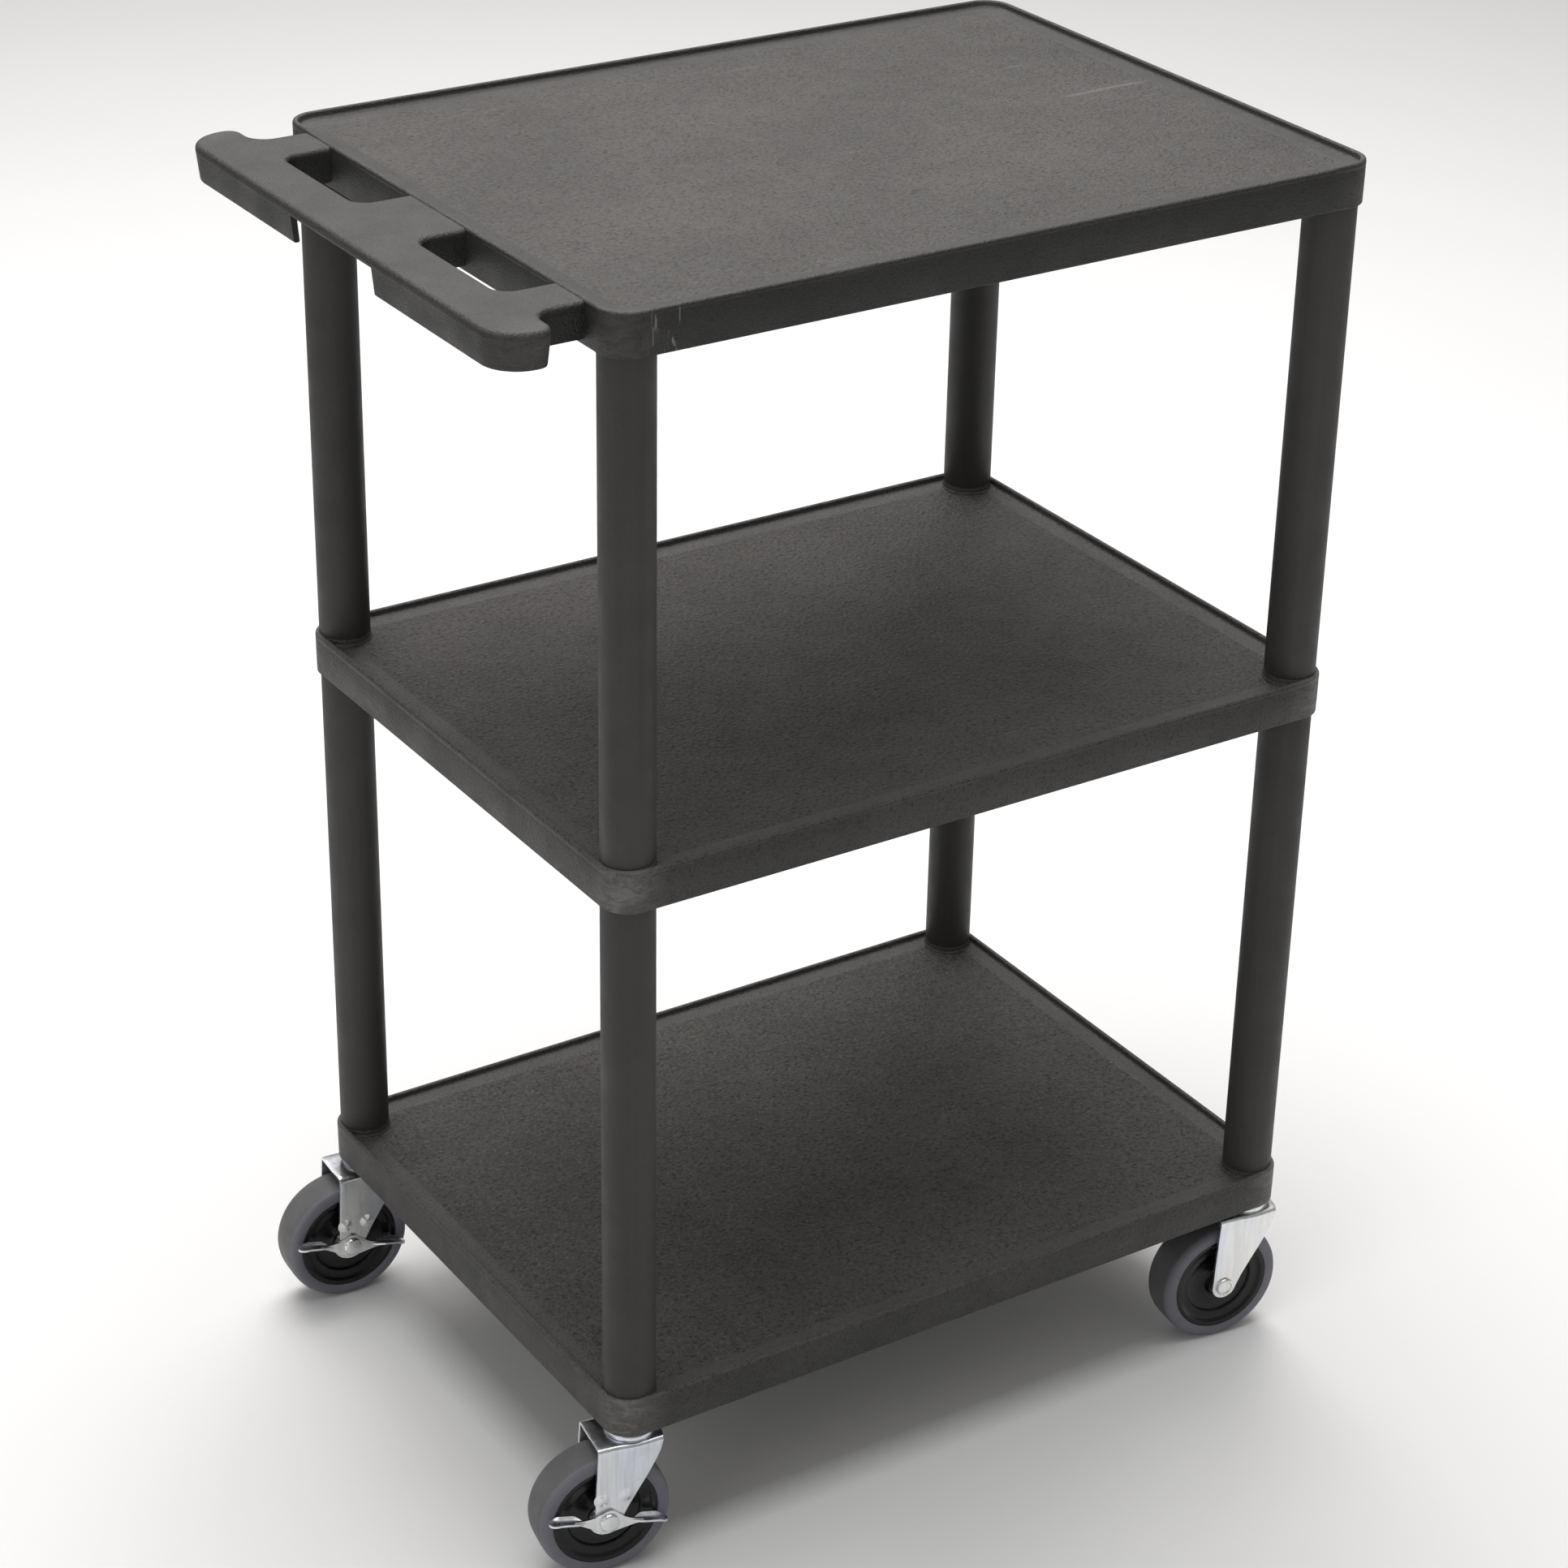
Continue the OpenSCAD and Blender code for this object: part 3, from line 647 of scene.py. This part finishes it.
# Edges of one wing of the pedal's plate in millimetres: (distance from the axle, height)
PEDAL_UPPER = ((0, 9.8), (2.5, 9.2), (8, 6.0), (14, 3.4), (20, 1.9), (27, 1.3))
PEDAL_LOWER = ((0, -9.0), (3.5, -8.6), (9, -6.9), (16, -4.3), (22, -2.2), (27, -1.3))
WING = 27.0                      # length of a wing in millimetres, as in the two edges
PAD_START, PAD_END = 17 * MM, 46.5 * MM
PAD_BACK, PAD_FRONT = 16.4 * MM, 27.2 * MM
PAD_T, PAD_DISH = 1.7 * MM, 2.4 * MM
PAD_ROUND = 7.5 * MM             # run of the pad's round end


def add_pedal_plate(bm):
    """Diamond plate in the x-z plane, facing -y."""
    columns, across = 36, 6
    front, back = [], []
    for k in range(-columns, columns + 1):
        x = WING * k / columns
        up = spline(PEDAL_UPPER, abs(x))
        down = spline(PEDAL_LOWER, abs(x))
        swell = 0.9 * math.exp(-(x / 11) ** 2)
        rows = ([], [])
        for j in range(across + 1):
            z = mix(down, up, j / across) * MM
            crown = swell * MM * (1 - (2 * j / across - 1) ** 4) * 0.3
            rows[0].append((x * MM, -PEDAL_Y - PEDAL_T - crown, z))
            rows[1].append((x * MM, -PEDAL_Y, z))
        front.append(add_ring(bm, rows[0]))
        back.append(add_ring(bm, rows[1]))
    close_sheet(bm, front, back)


def close_sheet(bm, front, back):
    """Faces of a sheet from its two layers of rows, and its rims."""
    for layer in (front, back):
        for a, b in zip(layer, layer[1:]):
            bridge(bm, a, b, closed=False)
    for k in (0, -1):
        bridge(bm, front[k], back[k], closed=False)
        bridge(bm, [r[k] for r in front], [r[k] for r in back], closed=False)


def add_pedal_pad(bm, side):
    """Spoon-shaped foot pad that runs on from a wing and opens to both sides of its plate."""
    steps, across = 22, 10
    plate_y = PEDAL_Y + PEDAL_T / 2
    middle = (PAD_BACK + PAD_FRONT) / 2
    upper, lower = [], []
    for k in range(steps + 1):
        t = k / steps
        x = mix(PAD_START, PAD_END, t)
        widen = smooth(t / 0.36)
        near_end = min((PAD_END - x) / PAD_ROUND, 1)
        shrink = math.sqrt(max(1 - (1 - near_end) ** 2, 0.02))
        half = (PAD_FRONT - PAD_BACK) / 2 * shrink
        lo_y = mix(plate_y - 0.9 * MM, middle - half, widen)
        hi_y = mix(plate_y + 0.9 * MM, middle + half, widen)
        dish = PAD_DISH * widen * near_end
        rows = ([], [])
        for j in range(across + 1):
            u = j / across
            z = dish * (2 * u - 1) ** 2 - 0.4 * MM
            for row, dz in zip(rows, (PAD_T / 2, -PAD_T / 2)):
                row.append((side * x, -mix(lo_y, hi_y, u), z + dz))
        upper.append(add_ring(bm, rows[0]))
        lower.append(add_ring(bm, rows[1]))
    close_sheet(bm, upper, lower)


def build_pedals(zinc):
    for corner in BRAKED:
        bm = bmesh.new()
        add_pedal_plate(bm)
        add_pedal_pad(bm, 1)
        add_pedal_pad(bm, -1)
        round_edges(bm, 0.4 * MM, limit=60)
        tilt = Matrix.Rotation(PEDAL_TILT, 4, "Y")
        make_piece(f"brake_pedal_{corner}_pressing", bm, "brake_" + corner, zinc, "zinc_plate",
                   f"brake_pedal_{corner}", place=caster_place(corner) @ tilt)


# ---------------------------------------------------------------- materials

class Nodes:
    """Short way to add and link shader nodes."""

    def __init__(self, name):
        self.material = bpy.data.materials.new(name)
        self.material.use_nodes = True
        self.tree = self.material.node_tree
        self.tree.nodes.clear()
        self.out = self.add("ShaderNodeOutputMaterial")
        self.shader = self.add("ShaderNodeBsdfPrincipled")
        self.link(self.shader.outputs[0], self.out.inputs["Surface"])
        self.position = self.add("ShaderNodeTexCoord").outputs["Object"]

    def add(self, kind, **settings):
        node = self.tree.nodes.new(kind)
        for key, value in settings.items():
            setattr(node, key, value)
        return node

    def link(self, a, b):
        self.tree.links.new(a, b)

    def stretched(self, scale):
        mapping = self.add("ShaderNodeMapping")
        mapping.inputs["Scale"].default_value = scale
        self.link(self.position, mapping.inputs["Vector"])
        return mapping.outputs[0]

    def noise(self, scale, detail=3.0, rough=0.55, vector=None, distortion=0.0):
        node = self.add("ShaderNodeTexNoise")
        node.inputs["Scale"].default_value = scale
        node.inputs["Detail"].default_value = detail
        node.inputs["Roughness"].default_value = rough
        node.inputs["Distortion"].default_value = distortion
        self.link(vector or self.position, node.inputs["Vector"])
        return node.outputs["Fac"]

    def cells(self, scale):
        node = self.add("ShaderNodeTexVoronoi", feature="SMOOTH_F1")
        node.inputs["Scale"].default_value = scale
        self.link(self.position, node.inputs["Vector"])
        return node.outputs["Distance"]

    def ramp(self, value, low, high, out_low=0.0, out_high=1.0):
        """Smooth step of a value between low and high, from out_low to out_high."""
        node = self.add("ShaderNodeMapRange", clamp=True)
        node.interpolation_type = "SMOOTHSTEP"
        numbers = {"From Min": low, "From Max": high, "To Min": out_low, "To Max": out_high}
        for key, number in numbers.items():
            node.inputs[key].default_value = number
        self.link(value, node.inputs["Value"])
        return node.outputs[0]

    def math(self, kind, a, b=None):
        """One step of arithmetic on one or two values, each a socket or a number."""
        node = self.add("ShaderNodeMath", operation=kind)
        for socket, value in zip(node.inputs, (a, b)):
            if isinstance(value, (int, float)):
                socket.default_value = value
            elif value is not None:
                self.link(value, socket)
        return node.outputs[0]

    def blend(self, factor, a, b):
        """Mixes two colours, each a socket or an (r, g, b), by a socket."""
        node = self.add("ShaderNodeMix", data_type="RGBA")
        self.link(factor, node.inputs[0])
        for socket, value in ((node.inputs[6], a), (node.inputs[7], b)):
            if isinstance(value, tuple):
                socket.default_value = (*value, 1)
            else:
                self.link(value, socket)
        return node.outputs[2]

    def bump(self, height, strength, distance, normal=None):
        node = self.add("ShaderNodeBump")
        node.inputs["Strength"].default_value = strength
        node.inputs["Distance"].default_value = distance
        self.link(height, node.inputs["Height"])
        if normal:
            self.link(normal, node.inputs["Normal"])
        return node.outputs[0]

    def finish(self, colour, rough, normal=None, metallic=0.0, specular=0.5):
        """Joins the sockets to the shader and gives the material."""
        self.shader.inputs["Metallic"].default_value = metallic
        self.shader.inputs["Specular IOR Level"].default_value = specular
        self.link(colour, self.shader.inputs["Base Color"])
        self.link(rough, self.shader.inputs["Roughness"])
        if normal:
            self.link(normal, self.shader.inputs["Normal"])
        return self.material


def grey(value, warmth=0.0):
    """A near-grey colour, warmer with warmth."""
    return (value * (1 + warmth), value, value * (1 - warmth))


def streaks(n, scale, thin, share, turn):
    """Sparse thin scratches that run one way; a higher share leaves fewer of them."""
    mapping = n.add("ShaderNodeMapping")
    mapping.inputs["Rotation"].default_value = turn
    mapping.inputs["Scale"].default_value = (1, thin, thin)
    n.link(n.position, mapping.inputs["Vector"])
    lines = n.noise(scale, detail=4, rough=0.6, vector=mapping.outputs[0])
    where = n.ramp(n.noise(9, detail=2), 0.52, 0.66)
    return n.math("MULTIPLY", n.ramp(lines, share, share + 0.08), where)


SHELF_X = (cad_box[0][0] + REACH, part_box("top_shelf")[1][0])     # the top shelf's two ends
WEAR_START, WEAR_FULL = 45 * MM, 6 * MM  # from a shelf's edge to where wear begins and is full
EVEN_WEAR = 0.35                 # share of the wear on corners that isn't in blots
SCRATCH_X = 38 * MM              # from the shelf's handle end to the scratches


def axis_reach(n, axis, middle, low, high):
    """Rises from 0 to 1 as a point gets far from the middle along one axis."""
    split = n.add("ShaderNodeSeparateXYZ")
    n.link(n.position, split.inputs[0])
    away = n.math("ABSOLUTE", n.math("SUBTRACT", split.outputs[axis], middle))
    return n.ramp(away, low, high)


def corner_wear(n):
    """Rubbed patches on the corners of a shelf."""
    x_mid = (SHELF_X[0] + SHELF_X[1]) / 2
    x_end = (SHELF_X[1] - SHELF_X[0]) / 2
    y_end = cad_box[1][1]
    corner = n.math("MULTIPLY", axis_reach(n, "X", x_mid, x_end - WEAR_START, x_end - WEAR_FULL),
                    axis_reach(n, "Y", 0, y_end - WEAR_START, y_end - WEAR_FULL))
    blots = n.noise(55, detail=6, rough=0.75, vector=n.stretched((1, 1, 2.2)), distortion=1.2)
    rubs = n.math("MULTIPLY", n.ramp(blots, 0.4, 0.62), 1 - EVEN_WEAR)
    return n.math("MULTIPLY", corner, n.math("ADD", EVEN_WEAR, rubs))


def corner_scratches(n):
    """A few pale upright scratches beside the near corner at the handle's end."""
    split = n.add("ShaderNodeSeparateXYZ")
    n.link(n.position, split.inputs[0])
    off = n.math("ABSOLUTE", n.math("SUBTRACT", split.outputs["X"], SHELF_X[0] + SCRATCH_X))
    near = cad_box[0][1]
    there = n.math("MULTIPLY", n.ramp(off, 4 * MM, 15 * MM, 1.0, 0.0),
                   n.ramp(split.outputs["Y"], near + 6 * MM, near + 12 * MM, 1.0, 0.0))
    lines = n.noise(420, detail=2, vector=n.stretched((1, 0.1, 0.16)))
    return n.math("MULTIPLY", there, n.ramp(lines, 0.58, 0.68))


def moulded_plastic(name, base, grain, scuff, pebble, warmth, gloss=0.42, corner=0.0, top_light=0.0,
                    scratched=False):
    """Dark moulded polyethylene, mottled and worn.

    Grain is the strength of the leather-like pebbles, pebble their number in a metre and scuff
    the share of scratches; corner is the wear on shelf corners, and the argument after it is the
    strength of painted light that lightens faces turned up, as if lit from above."""
    n = Nodes(name)
    clouds = n.ramp(n.noise(6, detail=5, rough=0.6), 0.3, 0.72)
    cells = n.ramp(n.cells(pebble), 0.15, 0.75)
    wobble = n.noise(pebble * 1.3, detail=4, rough=0.7)
    height = n.math("ADD", n.math("MULTIPLY", cells, 0.6), n.math("MULTIPLY", wobble, 0.9))
    patches = n.math("MULTIPLY", n.noise(24, detail=4), 0.3)
    blotches = n.math("ADD", n.math("MULTIPLY", clouds, 0.7), patches)
    colour = n.blend(blotches, grey(base * 0.76, warmth), grey(base * 1.26, warmth))
    facing = n.add("ShaderNodeSeparateXYZ")
    n.link(n.add("ShaderNodeNewGeometry").outputs["Normal"], facing.inputs[0])
    # Painted light: faces turned up are blended towards a paler grey, as though lit from above,
    # while the upright skirts keep the darker base.
    painted_top_light = n.math("MULTIPLY", n.ramp(facing.outputs["Z"], 0.1, 0.75), top_light)
    colour = n.blend(painted_top_light, colour, grey(base * 2.4, warmth))
    speckle = n.math("MULTIPLY", n.ramp(wobble, 0.48, 0.7), 0.5 * grain + 0.1)
    colour = n.blend(speckle, colour, grey(base * 2.7, warmth * 1.5))
    pits = n.ramp(n.noise(pebble * 0.8, detail=2), 0.32, 0.5, 1.0, 0.0)
    colour = n.blend(n.math("MULTIPLY", pits, 0.8), colour, grey(base * 0.3, warmth))
    long_marks = streaks(n, scale=5, thin=14, share=0.62, turn=(0.2, 0.1, 0.7))
    fine_marks = streaks(n, scale=9, thin=22, share=0.66, turn=(0, 0.3, -0.5))
    marks = n.math("ADD", n.math("MULTIPLY", long_marks, scuff),
                   n.math("MULTIPLY", fine_marks, scuff * 0.7))
    colour = n.blend(marks, colour, grey(base * 3.2, 0.02))
    worn = n.math("MULTIPLY", corner_wear(n), corner)
    colour = n.blend(worn, colour, grey(base * 4.8, 0.05))
    if scratched:
        colour = n.blend(corner_scratches(n), colour, grey(0.26, 0.02))
    pebbled = n.bump(height, 0.9 * grain + 0.1, 1.4 * MM)
    normal = n.bump(n.noise(11, detail=2), 0.25, 2.2 * MM, pebbled)
    rough = n.ramp(n.noise(30, detail=4), 0.25, 0.75, 0.46, 0.6)
    return n.finish(colour, rough, normal, specular=gloss)


def leg_plastic(name, base):
    """Extruded tube: smoother than the mouldings, with faint lengthwise lines and scuffs."""
    n = Nodes(name)
    along = n.noise(60, detail=3, vector=n.stretched((1, 1, 0.02)))
    clouds = n.noise(9, detail=4, rough=0.6)
    warmth = 0.03
    colour = n.blend(n.ramp(clouds, 0.3, 0.7), grey(base * 0.92, warmth), grey(base * 1.12, warmth))
    lines = n.math("MULTIPLY", n.ramp(along, 0.45, 0.7), 0.35)
    colour = n.blend(lines, colour, grey(base * 1.5, warmth))
    speckle = n.math("MULTIPLY", n.ramp(n.noise(900, detail=1), 0.6, 0.75), 0.3)
    colour = n.blend(speckle, colour, grey(base * 1.9, warmth))
    normal = n.bump(n.noise(700, detail=2), 0.12, 0.2 * MM)
    rough = n.ramp(n.noise(45, detail=3), 0.3, 0.7, 0.52, 0.62)
    return n.finish(colour, rough, normal, specular=0.22)


def zinc_plate(name, base):
    """Bright zinc over pressed steel, drawn lengthwise, with blue and straw tints."""
    n = Nodes(name)
    tint = n.ramp(n.noise(30, detail=2, vector=n.stretched((1, 1, 0.3))), 0.35, 0.68)
    colour = n.blend(tint, (base * 0.94, base * 0.98, base * 1.06), (base, base, base * 0.97))
    drawn = n.noise(260, detail=3, rough=0.6, vector=n.stretched((1, 1, 0.06)))
    lines = n.math("MULTIPLY", n.ramp(drawn, 0.4, 0.72), 0.4)
    colour = n.blend(lines, colour, grey(base * 0.66))
    rubs = n.noise(900, detail=2, vector=n.stretched((1, 1, 0.12)))
    normal = n.bump(rubs, 0.05, 0.1 * MM)
    rough = n.ramp(n.noise(40, detail=3), 0.3, 0.75, 0.2, 0.34)
    return n.finish(colour, rough, normal, metallic=1.0)


def hub_plastic(name, base):
    """Gloss black moulded hub with a little dust."""
    n = Nodes(name)
    dust = n.ramp(n.noise(90, detail=5, rough=0.7), 0.55, 0.85)
    colour = n.blend(n.math("MULTIPLY", dust, 0.3), grey(base), grey(base * 3.5, 0.02))
    normal = n.bump(n.noise(260, detail=2), 0.05, 0.2 * MM)
    rough = n.ramp(n.noise(60, detail=3), 0.3, 0.75, 0.22, 0.36)
    return n.finish(colour, rough, normal, specular=0.36)


def tread_rubber(name, base, blue):
    """Grey rubber, dusty and slightly mottled; blue shifts it from a warm to a cool grey."""
    n = Nodes(name)
    clouds = n.ramp(n.noise(45, detail=5, rough=0.65), 0.3, 0.7)
    colour = n.blend(clouds, (base * 0.9, base * 0.9, base * (0.9 + blue)),
                     (base * 1.06, base * 1.05, base * (1.05 + blue)))
    specks = n.ramp(n.noise(700, detail=2), 0.62, 0.76)
    colour = n.blend(n.math("MULTIPLY", specks, 0.35), colour, grey(base * 0.5))
    normal = n.bump(n.noise(520, detail=4), 0.18, 0.3 * MM)
    rough = n.ramp(n.noise(80, detail=3), 0.3, 0.7, 0.5, 0.66)
    return n.finish(colour, rough, normal, specular=0.4)


def bearing_steel(name, base):
    """Greased polished steel of the hidden bearing parts."""
    n = Nodes(name)
    film = n.ramp(n.noise(150, detail=3), 0.4, 0.7)
    colour = n.blend(film, grey(base), grey(base * 0.55, 0.06))
    rough = n.ramp(n.noise(200, detail=3), 0.3, 0.7, 0.14, 0.34)
    return n.finish(colour, rough, metallic=1.0)


def paint_frame_nodes(zinc, steel):
    """Gives every CAD node that still shows its own finish."""
    for name, node in frame["nodes"].items():
        if node.hide_render:
            continue
        finish = steel if name.startswith(("bearing_balls", "axle_bush")) else zinc
        for s in node.material_slots:
            s.material = finish
        if not node.material_slots:
            node.data.materials.append(finish)


# ---------------------------------------------------------------- stage

FLOOR_SIZE = 40.0
WORLD_COLOUR, WORLD_STRENGTH = (1.0, 0.985, 0.965, 1), 0.3

# Softboxes: (name, place, point it faces, size, watts, colour)
SOFTBOXES = (("back_softbox", (0.8, 1.9, 3.6), (0, 0, 0.6), (3.0, 3.0), 84, (1, 0.96, 0.945)),
             ("ceiling_softbox", (0, 0.3, 4.8), (0, 0.3, 0), (4.0, 4.0), 165, (1, 1, 1)),
             ("left_softbox", (-3.2, -1.0, 2.0), (0, 0, 0.5), (2.0, 2.4), 14, (1, 1, 1)))

# Camera, which leans a little to one side
CAMERA_PLACE = (-1.3774, -2.129, 1.797)
CAMERA_AHEAD = (0.4865, 0.7361, -0.4707)
CAMERA_RIGHT = (0.8400, -0.5430, 0.0190)
CAMERA_SHIFT = (-0.0105, 0.027)
LENS, SENSOR = 87.7, 36          # millimetres
VIEW_END = 100


def build_stage():
    """Pale floor that runs out of sight."""
    bpy.ops.mesh.primitive_plane_add(size=FLOOR_SIZE, location=(0, 0, 0))
    floor = bpy.context.object
    floor.name = "studio_floor"
    n = Nodes("pale_floor")
    colour = n.blend(n.noise(2), (0.86, 0.86, 0.86), (0.89, 0.89, 0.89))
    floor.data.materials.append(n.finish(colour, n.ramp(n.noise(3), 0, 1, 0.7, 0.8), specular=0.2))


def soft_light(name, place, target, size, watts, colour):
    data = bpy.data.lights.new(name, "AREA")
    data.color = colour
    data.shape = "RECTANGLE"
    data.size, data.size_y = size
    data.energy = watts
    lamp = bpy.data.objects.new(name, data)
    bpy.context.scene.collection.objects.link(lamp)
    lamp.location = place
    lamp.rotation_euler = (Vector(target) - Vector(place)).to_track_quat("-Z", "Y").to_euler()


def build_light():
    world = bpy.data.worlds.new("studio")
    world.use_nodes = True
    background = world.node_tree.nodes["Background"]
    background.inputs["Color"].default_value = WORLD_COLOUR
    background.inputs["Strength"].default_value = WORLD_STRENGTH
    bpy.context.scene.world = world
    for softbox in SOFTBOXES:
        soft_light(*softbox)


def build_camera():
    data = bpy.data.cameras.new("camera")
    data.lens = LENS
    data.sensor_width = SENSOR
    data.shift_x, data.shift_y = CAMERA_SHIFT
    data.clip_end = VIEW_END
    camera = bpy.data.objects.new("camera", data)
    bpy.context.scene.collection.objects.link(camera)
    camera.location = CAMERA_PLACE
    ahead = Vector(CAMERA_AHEAD).normalized()
    right = Vector(CAMERA_RIGHT)
    right = (right - ahead * right.dot(ahead)).normalized()
    up = right.cross(ahead)
    camera.rotation_euler = Matrix((right, up, -ahead)).transposed().to_euler()
    bpy.context.scene.camera = camera
    bpy.context.scene.view_settings.view_transform = "Standard"


def build_cart():
    # Each moulding lightens its faces turned up with painted light, more strongly on the top one.
    top = moulded_plastic("top_moulding", base=0.018, grain=0.3, scuff=0.5, pebble=800, warmth=0.04,
                          corner=0.5, top_light=0.95, scratched=True)
    top_tray = moulded_plastic("top_tray_grain", base=0.055, grain=0.7, scuff=0.5, pebble=430,
                               warmth=0.05, gloss=0.34)
    lower = moulded_plastic("lower_moulding", base=0.034, grain=0.3, scuff=0.3, pebble=620,
                            warmth=0.04, corner=0.95, top_light=0.75)
    lower_tray = moulded_plastic("lower_tray_grain", base=0.062, grain=1.0, scuff=0.3, pebble=360,
                                 warmth=0.05, gloss=0.36)
    zinc = zinc_plate("bright_zinc", base=0.86)
    build_shelves([top, top_tray], [lower, lower_tray])
    build_legs(leg_plastic("leg_tube", base=0.046))
    build_forks(zinc)
    build_caps(zinc)
    build_wheels(hub_plastic("gloss_hub", base=0.004),
                 [tread_rubber("tread_side", base=0.16, blue=0.17),
                  tread_rubber("tread_face", base=0.125, blue=0.02)])
    build_bolts(zinc)
    build_pedals(zinc)
    paint_frame_nodes(zinc, bearing_steel("greased_steel", base=0.5))


build_camera()
build_stage()
build_light()
build_cart()
